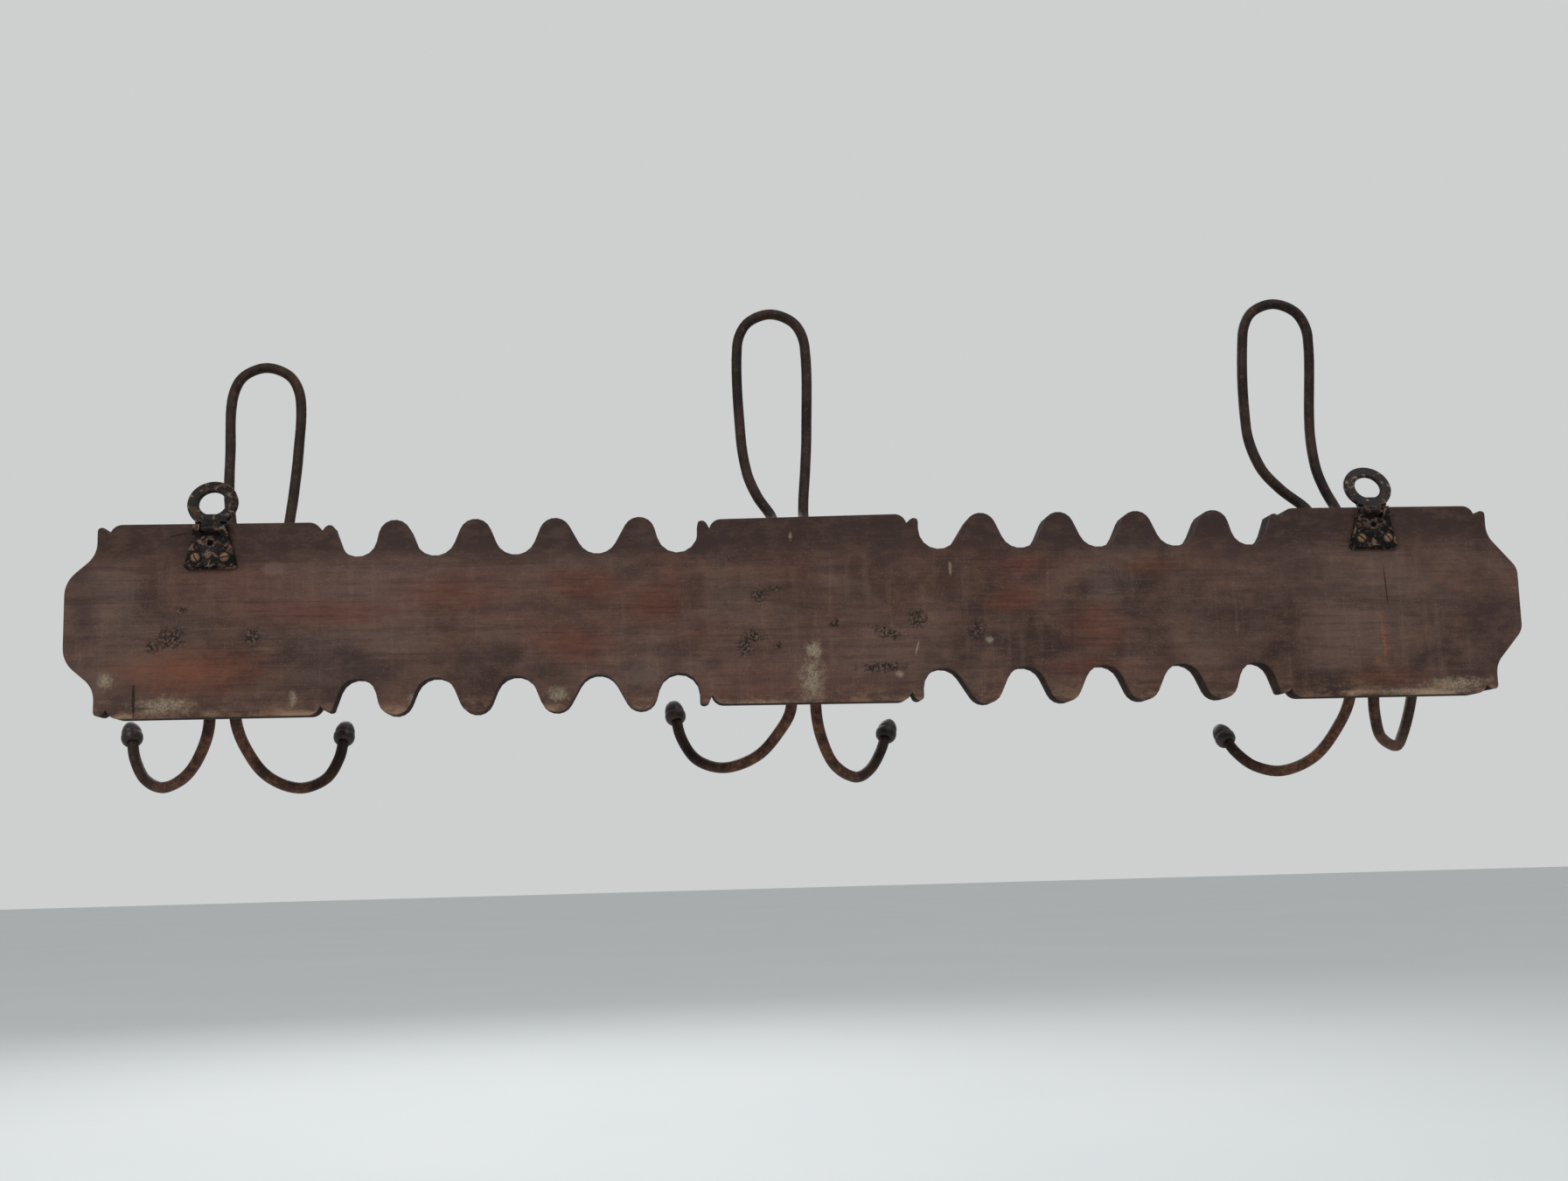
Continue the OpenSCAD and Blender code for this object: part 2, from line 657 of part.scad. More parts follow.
backboard();
hook_wire(0);  // hook_wire_left
hook_wire(1);  // hook_wire_centre
hook_wire(2);  // hook_wire_right
acorn(0, 1);  // acorn_left_outer
acorn(0, -1);  // acorn_left_inner
acorn(1, 1);  // acorn_centre_left
acorn(1, -1);  // acorn_centre_right
acorn(2, 1);  // acorn_right_inner
acorn(2, -1);  // acorn_right_outer
hook_saddle(0);  // hook_saddle_left
hook_saddle(1);  // hook_saddle_centre
hook_saddle(2);  // hook_saddle_right
saddle_screws(0);  // saddle_screws_left
saddle_screws(1);  // saddle_screws_centre
saddle_screws(2);  // saddle_screws_right
hanger_strap(0);  // hanger_strap_left
hanger_strap(1);  // hanger_strap_right
hanger_ring(0);  // hanger_ring_left
hanger_ring(1);  // hanger_ring_right
hanger_eyelet(0);  // hanger_eyelet_left
hanger_eyelet(1);  // hanger_eyelet_right
hanger_screws(0);  // hanger_screws_left
hanger_screws(1);  // hanger_screws_right
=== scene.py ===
import math

import bmesh
import bpy
from mathutils import Matrix, Vector, noise


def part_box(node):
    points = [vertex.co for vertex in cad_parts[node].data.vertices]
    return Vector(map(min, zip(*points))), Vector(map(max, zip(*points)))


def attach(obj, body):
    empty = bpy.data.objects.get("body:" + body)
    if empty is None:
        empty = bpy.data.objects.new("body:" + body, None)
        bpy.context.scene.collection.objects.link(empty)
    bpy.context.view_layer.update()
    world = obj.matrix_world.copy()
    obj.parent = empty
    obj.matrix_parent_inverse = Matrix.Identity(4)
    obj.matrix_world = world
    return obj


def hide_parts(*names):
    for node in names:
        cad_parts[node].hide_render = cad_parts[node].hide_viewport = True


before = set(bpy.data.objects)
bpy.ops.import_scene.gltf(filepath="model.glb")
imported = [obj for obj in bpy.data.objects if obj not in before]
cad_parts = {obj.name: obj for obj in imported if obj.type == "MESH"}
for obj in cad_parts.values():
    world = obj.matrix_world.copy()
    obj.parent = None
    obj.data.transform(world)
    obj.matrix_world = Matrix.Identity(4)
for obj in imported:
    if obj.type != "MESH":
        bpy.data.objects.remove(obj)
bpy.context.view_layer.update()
scene = bpy.context.scene
scene.view_settings.view_transform = "Standard"

# ---------------------------------------------------------------------------
# Camera: looks at the back of the board, a little from below and from the
# left hanger's side, with a slightly long lens.
# ---------------------------------------------------------------------------
camera = bpy.data.objects.new("camera", bpy.data.cameras.new("camera"))
scene.collection.objects.link(camera)
camera.data.lens = 42.53
camera.data.sensor_width = 36.0
camera.data.clip_end = 60.0
camera.matrix_world = Matrix((
    (-0.997, -0.0149, 0.0773, 0.0943),
    (0.074, 0.1453, 0.9866, 1.0006),
    (-0.026, 0.9893, -0.1437, -0.1348),
    (0.0, 0.0, 0.0, 1.0),
))
scene.camera = camera

# ---------------------------------------------------------------------------
# Backboard: one softwood plank, sawn to a scalloped outline with a fret saw,
# stained dark brown and rubbed back by a century of wear. Its arrises are worn
# round, its back is planed by hand, and worm, damp and old paint have marked it.
# ---------------------------------------------------------------------------
board_thick = 0.015
centre_block_at = 1.7
arris_width = 0.0011
plane_mark_depth = 0.00022
plank_grid = 0.004
crack_at = 0.3627
worm_depth = 0.0011
skin = 0.0002


def stain(red, green, blue):
    """A colour as a painter mixes it, 0 to 255, turned into the light it gives back."""
    parts = []
    for value in (red, green, blue):
        value = value / 255
        parts.append(value / 12.92 if value < 0.04045 else ((value + 0.055) / 1.055) ** 2.4)
    return (*parts, 1.0)


def node(tree, kind, sockets=None, **settings):
    made = tree.nodes.new(kind)
    for key, value in settings.items():
        setattr(made, key, value)
    for key, value in (sockets or {}).items():
        if isinstance(value, bpy.types.NodeSocket):
            tree.links.new(value, made.inputs[key])
        else:
            made.inputs[key].default_value = value
    return made


def finish_coat(name):
    """An empty finish: its tree, its place on the piece and its shader."""
    made = bpy.data.materials.new(name)
    made.use_nodes = True
    tree = made.node_tree
    place = node(tree, "ShaderNodeTexCoord").outputs["Object"]
    return made, tree, place, tree.nodes["Principled BSDF"]


def mottle(tree, place, scale, detail=6.0, stretch=(1, 1, 1), shift=(0, 0, 0), rough=0.6, warp=0.0):
    """Cloudy variation from 0 to 1; a small stretch draws it out along that axis."""
    spread = node(tree, "ShaderNodeMapping", {"Vector": place, "Location": shift, "Scale": stretch})
    return node(tree, "ShaderNodeTexNoise", {
        "Vector": spread.outputs[0], "Scale": scale, "Detail": detail, "Roughness": rough, "Distortion": warp,
    }).outputs["Fac"]


def between(tree, value, low, high, to_low=0.0, to_high=1.0):
    return node(tree, "ShaderNodeMapRange", {
        "Value": value, "From Min": low, "From Max": high, "To Min": to_low, "To Max": to_high,
    }, interpolation_type="SMOOTHSTEP").outputs[0]


def reckon(tree, operation, one, two=0.0):
    return node(tree, "ShaderNodeMath", {0: one, 1: two}, operation=operation, use_clamp=True).outputs[0]


def lay_over(tree, amount, under, over):
    return node(tree, "ShaderNodeMix", {0: amount, 6: under, 7: over}, data_type="RGBA").outputs[2]


def veil(tree, amount, strength, under, over):
    """Lays one colour over another where the amount says, and never more than its strength."""
    return lay_over(tree, reckon(tree, "MULTIPLY", amount, strength), under, over)


def scaled(tree, value, times, plus=0.0):
    """A value multiplied and added to, and free to pass 0 and 1."""
    return node(tree, "ShaderNodeMath", {0: value, 1: times, 2: plus}, operation="MULTIPLY_ADD").outputs[0]


def dent(tree, height, depth, under=None):
    sockets = {"Height": height, "Distance": depth, "Strength": 1.0}
    if under is not None:
        sockets["Normal"] = under
    return node(tree, "ShaderNodeBump", sockets).outputs[0]


board_coat, tree, place, shader = finish_coat("worn_dark_stain")
height_on_board = node(tree, "ShaderNodeSeparateXYZ", {0: place})
depth_in, up = (height_on_board.outputs[k] for k in (1, 2))
on_back = between(tree, depth_in, -0.0016, -0.0006)
ragged = mottle(tree, place, 260, 8, rough=0.75)
raggedness = node(tree, "ShaderNodeMath", {0: ragged, 1: -0.5}, operation="ADD").outputs[0]


def mark(x, z, half_w, half_h, tilt=0.0, rag=1.6, soft=0.7):
    """A mark on the back of the board, given in millimetres from the centre block's middle."""
    spot = node(tree, "ShaderNodeMapping", {
        "Vector": place, "Location": ((x + centre_block_at) / 1000, 0, z / 1000),
        "Rotation": (0, math.radians(tilt), 0), "Scale": (half_w / 1000, 1, half_h / 1000),
    }, vector_type="TEXTURE")
    reach = node(tree, "ShaderNodeVectorMath", {0: spot.outputs[0]}, operation="LENGTH").outputs["Value"]
    frayed = scaled(tree, raggedness, rag, reach)
    return between(tree, frayed, 1.0, 1.0 - soft)


def all_marks(marks):
    total = None
    for one in marks:
        found = mark(*one)
        total = found if total is None else reckon(tree, "MAXIMUM", total, found)
    return reckon(tree, "MULTIPLY", total, on_back)


# Stain: dusty brown, redder where it was rubbed and nearly black where it pooled
fine_grain = mottle(tree, place, 520, 6, stretch=(0.05, 1, 1), rough=0.75)
long_grain = mottle(tree, place, 120, 7, stretch=(0.06, 1, 1), shift=(0.3, 0, 0.2), warp=0.6)
wiped = mottle(tree, place, 150, 6, stretch=(1, 1, 0.1), shift=(0.7, 0, 0), rough=0.7)
cloud = mottle(tree, place, 9, 4, stretch=(0.7, 1, 1.1), shift=(1.3, 0, 0.4), warp=0.5)
cloud_fine = mottle(tree, place, 30, 7, stretch=(0.7, 1, 1), shift=(4.1, 0, 2.2), warp=0.4)
grit = mottle(tree, place, 1100, 4, rough=0.8)
base = lay_over(tree, between(tree, cloud_fine, 0.38, 0.62), stain(44, 29, 25), stain(75, 55, 47))
base = veil(tree, between(tree, cloud, 0.44, 0.62), 0.5, base, stain(80, 48, 40))
dust = between(tree, mottle(tree, place, 15, 6, shift=(7, 0, 1), warp=0.5), 0.42, 0.64)
near_edges = node(tree, "ShaderNodeMath", {0: up}, operation="ABSOLUTE").outputs[0]
dust = reckon(tree, "MULTIPLY", dust, on_back)
dust = reckon(tree, "MULTIPLY", dust, between(tree, near_edges, 0.047, 0.028, 0.25, 1.0))
base = veil(tree, dust, 0.55, base, stain(88, 71, 64))
base = veil(tree, between(tree, long_grain, 0.55, 0.38), 0.5, base, stain(50, 35, 32))
base = veil(tree, between(tree, fine_grain, 0.48, 0.32), 0.55, base, stain(44, 31, 28))
base = veil(tree, between(tree, fine_grain, 0.54, 0.68), 0.22, base, stain(104, 82, 71))
base = veil(tree, between(tree, wiped, 0.5, 0.72), 0.24, base, stain(102, 84, 75))
base = veil(tree, between(tree, grit, 0.6, 0.68), 0.6, base, stain(124, 104, 90))
base = veil(tree, between(tree, grit, 0.41, 0.33), 0.7, base, stain(36, 25, 23))

# Darker towards the top of the board, over the upper teeth and block tops
tops = between(tree, scaled(tree, cloud_fine, 0.02, up), 0.034, 0.052)
base = veil(tree, tops, 0.85, base, stain(42, 29, 26))

# Rubbed red-brown areas
red = all_marks([
    (330, -27, 62, 22, 0, 1.6, 0.9), (262, 2, 66, 12, 0, 1.6, 0.9), (122, 16, 34, 14, -8, 1.6, 0.8),
    (128, -16, 36, 14, 0, 1.6, 0.9), (84, 5, 22, 16, 0, 1.4, 0.7), (196, 12, 44, 16, 0, 1.8, 0.9),
    (-112, 4, 20, 9, 6, 1.4, 0.5), (-160, -12, 22, 20, 0, 1.4, 0.6), (-150, -34, 34, 8, 0, 1.6, 0.8),
    (-322, -43, 34, 8, 0, 1.4, 0.9), (-192, 22, 26, 8, 0, 1.6, 0.8), (-120, 24, 20, 7, 0, 1.8, 0.8),
])
red_wood = lay_over(tree, between(tree, fine_grain, 0.35, 0.6), stain(58, 29, 22), stain(86, 47, 33))
base = veil(tree, red, 0.52, base, red_wood)

# Dark stains, knots and damp
damp = all_marks([
    (-19, 44, 17, 9, 0, 1.0, 0.4), (-43, 36, 13, 13, 20, 1.0, 0.4), (-382, -8, 20, 40, 0, 1.4, 0.9),
    (250, -22, 22, 10, 0, 1.6, 0.9), (182, -22, 30, 12, 0, 1.8, 0.9), (230, 44, 40, 12, 0, 1.6, 0.9),
    (100, 40, 70, 12, 0, 1.8, 0.9), (-150, 40, 90, 12, 0, 1.8, 0.9), (-272, 20, 22, 18, 0, 1.6, 0.9),
    (388, 8, 12, 32, 0, 1.4, 0.9), (244, -32, 30, 14, 0, 1.4, 0.9), (-241, 30, 26, 16, 0, 1.4, 0.9),
    (54, -29, 8, 5, 0, 1.6, 0.7), (344, 47, 2.5, 6, 25, 1.5, 0.7),
    (97, -34, 10, 12, 0, 1.5, 0.6), (366, -42, 14, 14, 0, 1.6, 0.9),
])
base = veil(tree, damp, 0.62, base, stain(49, 35, 33))

# Old worm and rot: shallow ragged pits, dark in their depths
worm_marks = [
    (29, 8, 5, 6, 20), (31, -14, 8, 5, 0), (36, -20, 6, 5, 30), (-13, -8, 4, 3, 0), (-41, -13, 11, 4, -18),
    (-59, -6, 7, 6, -20), (-38, -32, 15, 3.4, 0), (343, -10, 9, 7, 10), (337, 5, 5, 2.4, 0),
    (300, -10, 5, 6, 0), (352, -14, 4, 4, 0), (-92, -12, 6, 7, 0), (20, 12, 7, 2, 0), (18, -20, 3, 3, 0),
]
worm_area = all_marks([(*one, 2.6, 0.8) for one in worm_marks])
holes = between(tree, mottle(tree, place, 620, 3, rough=0.8), 0.47, 0.56)
worm = reckon(tree, "MULTIPLY", worm_area, holes)
base = veil(tree, worm_area, 0.4, base, stain(94, 78, 68))
base = veil(tree, worm, 0.95, base, stain(26, 18, 16))
# Pale paint and lime, worn through to speckles
paint = all_marks([
    (0, -38, 9, 16, 0, 2.6, 0.9), (-1, -22, 6, 6, 0, 2.4, 0.7), (-58, -22, 0.7, 5, -16, 0.6, 0.5),
    (346, -46, 20, 6, 0, 3.0, 0.9), (-362, -47, 24, 5, 0, 3.0, 0.9),
    (376, -32, 5, 6, 0, 2.2, 0.8), (278, -43, 3, 6, 0, 2.0, 0.8),
    (-48, -36, 3, 2.4, 0, 1.6, 0.7), (-98, -18, 3, 2.4, 0, 2.2, 0.7), (-78, 22, 1.2, 5, 0, 1.6, 0.6),
    (138, -44, 8, 6, 0, 2.6, 0.9), (10, 41, 1.4, 3, 0, 1.4, 0.8), (214, -45, 5, 5, 0, 2.6, 0.9),
    (-340, -51, 50, 2.4, 0, 2.2, 0.9), (30, -51, 36, 2.4, 0, 2.2, 0.9),
])
flecks = between(tree, mottle(tree, place, 900, 4, rough=0.8), 0.34, 0.58)
paint = reckon(tree, "MULTIPLY", paint, flecks)
base = veil(tree, paint, 0.62, base, stain(142, 132, 112))
faded = all_marks([(289, 27, 8, 5, 0, 0.5, 0.5), (94, -34, 16, 10, 0, 2.6, 0.8)])
base = veil(tree, faded, 0.24, base, stain(112, 96, 88))
rusty = all_marks([(334, -28, 52, 15, 0, 2.0, 0.9)])
base = veil(tree, rusty, 0.34, base, stain(108, 62, 40))
# Sap that has run out of a crack under the right-hand hanger
sap = all_marks([(-321, -20, 1.9, 21, 3, 2.2, 0.9), (-317, -33, 3, 2.2, 0, 1.6, 0.8)])
base = veil(tree, sap, 0.7, base, lay_over(tree, flecks, stain(60, 34, 26), stain(122, 73, 50)))
cracks = all_marks([
    (-324.5, 9, 0.4, 14, 3, 0.5, 0.6), (361, -43, 0.9, 11, 1, 0.8, 0.6), (356, -47, 6, 0.4, 0, 0.8, 0.6),
    (339, 46, 6, 0.5, 12, 0.5, 0.6),
])
base = veil(tree, cracks, 0.7, base, stain(28, 20, 18))
# Sawn edges: dark stained end grain with the saw's strokes across them, made nearly black by painted shade
sawn = between(tree, depth_in, -0.0004, -0.0022)
saw_strokes = mottle(tree, place, 420, 4, stretch=(1, 0.06, 1), shift=(0, 0.4, 0))
edge_wood_and_painted_shade = lay_over(tree, between(tree, saw_strokes, 0.3, 0.7), stain(22, 16, 15), stain(46, 32, 27))
base = lay_over(tree, sawn, base, edge_wood_and_painted_shade)
# The front is under the same stain, never rubbed back
front = between(tree, depth_in, -0.0132, -0.0144)
front_wood = lay_over(tree, between(tree, long_grain, 0.35, 0.66), stain(46, 29, 24), stain(80, 51, 39))
base = lay_over(tree, front, base, front_wood)
# Arrises worn to bare wood, most of all along the lower edge
arris = node(tree, "ShaderNodeAttribute", attribute_name="arris").outputs["Fac"]
knocks = between(tree, mottle(tree, place, 120, 7, stretch=(0.5, 1, 1), rough=0.8), 0.45, 0.62)
low_edge = between(tree, up, -0.040, -0.0515, 0.28, 1.0)
bare = reckon(tree, "MULTIPLY", reckon(tree, "MULTIPLY", arris, knocks), low_edge)
base = veil(tree, bare, 0.9, base, stain(140, 108, 84))
rubbed_low = reckon(tree, "MULTIPLY", between(tree, up, -0.0475, -0.0525), on_back)
rubbed_in_places = between(tree, mottle(tree, place, 60, 6, stretch=(0.4, 1, 1)), 0.48, 0.6)
rubbed_low = reckon(tree, "MULTIPLY", rubbed_low, rubbed_in_places)
base = veil(tree, rubbed_low, 0.7, base, stain(146, 120, 96))
tree.links.new(base, shader.inputs["Base Color"])
rubbed = reckon(tree, "MAXIMUM", between(tree, cloud_fine, 0.3, 0.7, 0.6, 0.8), sawn)
tree.links.new(rubbed, shader.inputs["Roughness"])
shader.inputs["Specular IOR Level"].default_value = 0.16
grain_height = node(tree, "ShaderNodeMath", {0: fine_grain, 1: grit}, operation="ADD").outputs[0]
bumps = dent(tree, grain_height, 0.00014)
bumps = dent(tree, scaled(tree, worm, -1.0), 0.0009, bumps)
bumps = dent(tree, scaled(tree, cracks, -1.0), 0.0008, bumps)
bumps = dent(tree, reckon(tree, "MULTIPLY", saw_strokes, sawn), 0.0003, bumps)
tree.links.new(bumps, shader.inputs["Normal"])


def merged_copy(node_name):
    """The made part's own surface, joined up and cleared of the cuts between its flat triangles."""
    body = bmesh.new()
    body.from_mesh(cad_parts[node_name].data)
    bmesh.ops.remove_doubles(body, verts=body.verts, dist=2e-6)
    bmesh.ops.dissolve_limit(
        body, angle_limit=math.radians(0.6), verts=body.verts, edges=body.edges, delimit={"NORMAL"},
    )
    return body


def break_arrises(body, width, segments=2, sharper_than=32):
    edges = [e for e in body.edges if e.is_manifold and e.calc_face_angle(0) > math.radians(sharper_than)]
    bmesh.ops.bevel(
        body, geom=edges, offset=width, offset_type="OFFSET", segments=segments, profile=0.5,
        affect="EDGES", clamp_overlap=True, material=-1,
    )


def put_together(name, body, coat, crease=34):
    """Turns the shaped body into a piece, smooth but for its creases."""
    mesh = bpy.data.meshes.new(name)
    body.to_mesh(mesh)
    body.free()
    mesh.shade_smooth()
    mesh.set_sharp_from_angle(angle=math.radians(crease))
    mesh.materials.append(coat)
    piece = bpy.data.objects.new(name, mesh)
    scene.collection.objects.link(piece)
    return piece


def score_across(body, through, square_to):
    """Adds a line of points right round the body, so that it can be worn there."""
    whole = body.verts[:] + body.edges[:] + body.faces[:]
    bmesh.ops.bisect_plane(body, geom=whole, plane_co=through, plane_no=square_to, dist=1e-5)


def by_pit(co, pit, margin):
    """How far a point is from a worm pit's middle, as a share of the pit's reach."""
    x, z, half_w, half_h, _ = pit
    return math.hypot(
        (co.x * 1000 - centre_block_at - x) / (half_w + margin), (co.z * 1000 - z) / (half_h + margin),
    )


plank = merged_copy("backboard")
break_arrises(plank, arris_width, 2, 50)
bmesh.ops.triangulate(plank, faces=[f for f in plank.faces if len(f.verts) > 4])
low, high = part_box("backboard")
for axis, normal in ((0, (1, 0, 0)), (2, (0, 0, 1))):
    lines = int((high[axis] - low[axis]) / plank_grid)
    for k in range(1, lines + 1):
        cut = [0.0, 0.0, 0.0]
        cut[axis] = low[axis] + k * (high[axis] - low[axis]) / (lines + 1)
        score_across(plank, cut, normal)
for depth in (-0.004, -0.0075, -0.011):
    score_across(plank, (0, depth, 0), (0, 1, 0))
for offset in (-0.0007, 0.0, 0.0007):
    score_across(plank, (crack_at + offset, 0, 0), (1, 0, 0))
# Worm pits get a finer surface to be dug into
for pit in worm_marks:
    for turn in range(2):
        pitted = [e for e in plank.edges if all(v.co.y > -skin and by_pit(v.co, pit, 3) < 1 for v in e.verts)]
        bmesh.ops.subdivide_edges(plank, edges=pitted, cuts=1, use_grid_fill=True)
worn = plank.verts.layers.float.new("arris")
plank.normal_update()
for v in plank.verts:
    x, y, z = v.co
    on_face = y > -skin or y < skin - board_thick
    on_arris = not on_face and (y > -0.0015 or y < 0.0015 - board_thick)
    v[worn] = 0.35 if on_face else (1.0 if on_arris else 0.0)
    if not on_face:
        if on_arris:
            chipped = noise.noise(Vector((x * 70, y * 20, z * 70)))
            chipped += 0.5 * noise.noise(Vector((x * 240, 0, z * 240)))
            v.co -= v.normal * (0.0001 + 0.0006 * max(0.0, chipped))
        continue
    inward = -1 if y > -board_thick / 2 else 1
    sunk = plane_mark_depth * (0.5 + 0.5 * noise.noise(Vector((x * 9, inward, z * 34))))
    sunk += 0.00008 * (0.5 + 0.5 * noise.noise(Vector((x * 160, inward, z * 300))))
    if inward < 0:
        for pit in worm_marks:
            away = by_pit(v.co, pit, 2)
            if away < 1:
                bitten = max(0.0, noise.noise(Vector((x * 620, 3, z * 620))) + 0.15)
                sunk += (1 - away) * worm_depth * bitten
        if abs(x - crack_at) < 0.0001 and z < -0.033:
            sunk += 0.0012 * min(1.0, (-0.033 - z) / 0.008)
    v.co.y += inward * sunk
bmesh.ops.triangulate(plank, faces=[f for f in plank.faces if len(f.verts) > 4])
backboard = put_together("backboard_worn", plank, board_coat, 48)
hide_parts("backboard")
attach(backboard, "rack")

# ---------------------------------------------------------------------------
# Hook wires: one length of iron wire each, bent by hand over a former into a
# tall hat loop above and two coat prongs below, then held flat to the board by
# its saddle. Blackened when new, brown with old rust now.
# ---------------------------------------------------------------------------
wire_r = 0.0033
strand_half_gap = 6.7
saddle_half = 13.0
board_half_height = 53.0
loop_half = 21.0
hook_bends = {
    "left": (322.2, (3, -22, 38, 2, 16.5, 0), (4, -1, 31, 0), (-4, 1, 31, 0.06)),
    "centre": (4.7, (7, 0, 0, 1, 10, 0), (10.5, -5, 33, 0.03), (-6, 2, 27, -0.04)),
    "right": (-315.3, (9, 4, -5, -7, 9.6, 3), (2.5, 4, 22, 0.01), (-3, -9, 41, -0.1)),
}


def part_way(a, b, t):
    return a + (b - a) * t


def loop_strand(bend, side):
    """One strand of a hat loop: sideways, off the board and up, in millimetres."""
    shift, rise, reach, root, half, bow = bend
    reach += 94
    root_reach = 0.85 * reach
    rise += 200
    arch = rise - loop_half
    rest = 3.45
    root_rise = board_half_height + 18

    def bowing_out(shifted, widened, reached, higher, bowed):
        """A point of the bowed part, between the wire's root and its loop."""
        u = part_way(root, shift, shifted) + bowed * bow + side * part_way(half, loop_half, widened)
        return u, part_way(root_reach, reach, reached), root_rise + higher

    return [
        (side * strand_half_gap, rest, 0),
        (side * strand_half_gap, rest, saddle_half),
        (side * strand_half_gap, rest, saddle_half + 3),
        (side * (strand_half_gap + 0.3), rest + 0.1 * root_reach, saddle_half + 17),
        (0.4 * root + side * part_way(strand_half_gap, half, 0.3), 0.48 * root_reach, board_half_height - 3),
        (0.8 * root + side * part_way(strand_half_gap, half, 0.75), 0.82 * root_reach, board_half_height + 9),
        (root + side * half, root_reach, root_rise),
        bowing_out(0.55, 0.37, 0.25, 12, 0),
        bowing_out(0.9, 0.7, 0.45, 27, 0.6),
        bowing_out(1, 0.93, 0.8, 52, 1),
        (shift + side * loop_half, reach, arch),
        (shift + side * loop_half * math.sin(math.pi / 4), reach, arch + loop_half * math.cos(math.pi / 4)),
    ]


def prong_strand(bend, side):
    """One coat prong, from the saddle down and round to its tip."""
    spread, drop, tip, bulge = bend
    spread += 60
    drop += 87
    tip = drop - tip
    rest = 3.45
    below = board_half_height - 2
    return [
        (side * strand_half_gap, rest, -saddle_half),
        (side * strand_half_gap, rest, -saddle_half - 3),
        (side * (strand_half_gap + 0.2), 0.17 * 72, -below),
        (side * 0.19 * spread, 0.3 * 72, -part_way(below, drop, 0.42)),
        (side * (0.36 + 0.5 * min(bulge, 0)) * spread, 0.45 * 72, -part_way(below, drop, 0.82)),
        (side * (0.6 + 0.5 * bulge) * spread, 0.62 * 72, -drop),
        (side * (0.8 + bulge) * spread, 0.76 * 72, -part_way(tip, drop, 0.84)),
        (side * (0.93 + 0.7 * bulge) * spread, 0.88 * 72, -part_way(tip, drop, 0.45)),
        (side * spread, 72, -tip),
    ]


def wire_route(hook):
    place_on_board, loop, outer, inner = hook_bends[hook]
    points = prong_strand(outer, 1)[::-1] + loop_strand(loop, 1)
    points.append((loop[0], 94 + loop[2], 200 + loop[1]))
    points += loop_strand(loop, -1)[::-1] + prong_strand(inner, -1)
    return [Vector(((place_on_board + u) / 1000, -board_thick - w / 1000, z / 1000)) for u, w, z in points]


def lean_at(points, k):
    if k == 0:
        return (points[1] - points[0]).normalized()
    if k == len(points) - 1:
        return (points[k] - points[k - 1]).normalized()
    spans = (points[k + 1] - points[k]).length + (points[k] - points[k - 1]).length
    return (points[k + 1] - points[k - 1]) / spans


iron_coat, tree, place, shader = finish_coat("rusted_black_iron")
iron_cloud = mottle(tree, place, 45, 6, rough=0.65)
iron_fine = mottle(tree, place, 420, 6, rough=0.75)
iron_scale = mottle(tree, place, 1500, 3, rough=0.7)
iron = lay_over(tree, between(tree, iron_cloud, 0.38, 0.62), stain(19, 13, 11), stain(43, 29, 23))
iron = veil(tree, between(tree, iron_fine, 0.52, 0.68), 0.7, iron, stain(84, 56, 41))
iron = veil(tree, between(tree, iron_fine, 0.44, 0.34), 0.6, iron, stain(13, 10, 9))
# Handled black at the far ends, rusty where the wires come off the board
iron_out = node(tree, "ShaderNodeSeparateXYZ", {0: place}).outputs[1]
by_board = between(tree, iron_out, -0.082, -0.045)
by_board = reckon(tree, "MULTIPLY", by_board, between(tree, mottle(tree, place, 70, 6, rough=0.7), 0.36, 0.6))
rust = lay_over(tree, between(tree, iron_fine, 0.35, 0.65), stain(60, 38, 29), stain(118, 78, 56))
iron = veil(tree, by_board, 0.75, iron, rust)
tree.links.new(iron, shader.inputs["Base Color"])
shader.inputs["Metallic"].default_value = 0.1
shader.inputs["Specular IOR Level"].default_value = 0.15
tree.links.new(between(tree, iron_fine, 0.3, 0.7, 0.48, 0.72), shader.inputs["Roughness"])
pits = node(tree, "ShaderNodeMath", {0: iron_fine, 1: iron_scale}, operation="ADD").outputs[0]
tree.links.new(dent(tree, pits, 0.0001), shader.inputs["Normal"])

for hook in hook_bends:
    route = wire_route(hook)
    line = bpy.data.curves.new(f"wire_line_{hook}", "CURVE")
    line.dimensions = "3D"
    line.resolution_u = 7
    line.bevel_depth = wire_r * 0.975
    line.bevel_resolution = 5
    line.use_fill_caps = True
    strand = line.splines.new("BEZIER")
    strand.bezier_points.add(len(route) - 1)
    for k, point in enumerate(route):
        knot = strand.bezier_points[k]
        knot.handle_left_type = knot.handle_right_type = "FREE"
        knot.co = point
        lean = lean_at(route, k)
        before = (route[k] - route[k - 1]).length if k else 0.004
        after = (route[k + 1] - route[k]).length if k < len(route) - 1 else 0.004
        knot.handle_left = point - lean * before / 3
        knot.handle_right = point + lean * after / 3
    bent = bpy.data.objects.new(f"wire_line_{hook}", line)
    scene.collection.objects.link(bent)
    body = bmesh.new()
    body.from_mesh(bpy.data.meshes.new_from_object(bent))
    bpy.data.objects.remove(bent)
    bmesh.ops.remove_doubles(body, verts=body.verts, dist=1e-6)
    bmesh.ops.recalc_face_normals(body, faces=body.faces)
    for v in body.verts:
        bite = 0.5 + 0.5 * noise.noise(v.co * 190)
        hammer = max(0.0, noise.noise(v.co * 60 + Vector((5, 1, 2))))
        v.co -= v.normal * (0.00007 * bite + 0.00016 * hammer)
    wire = put_together(f"hook_{hook}_wire", body, iron_coat, 60)
    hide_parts(f"hook_wire_{hook}")
    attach(wire, "rack")

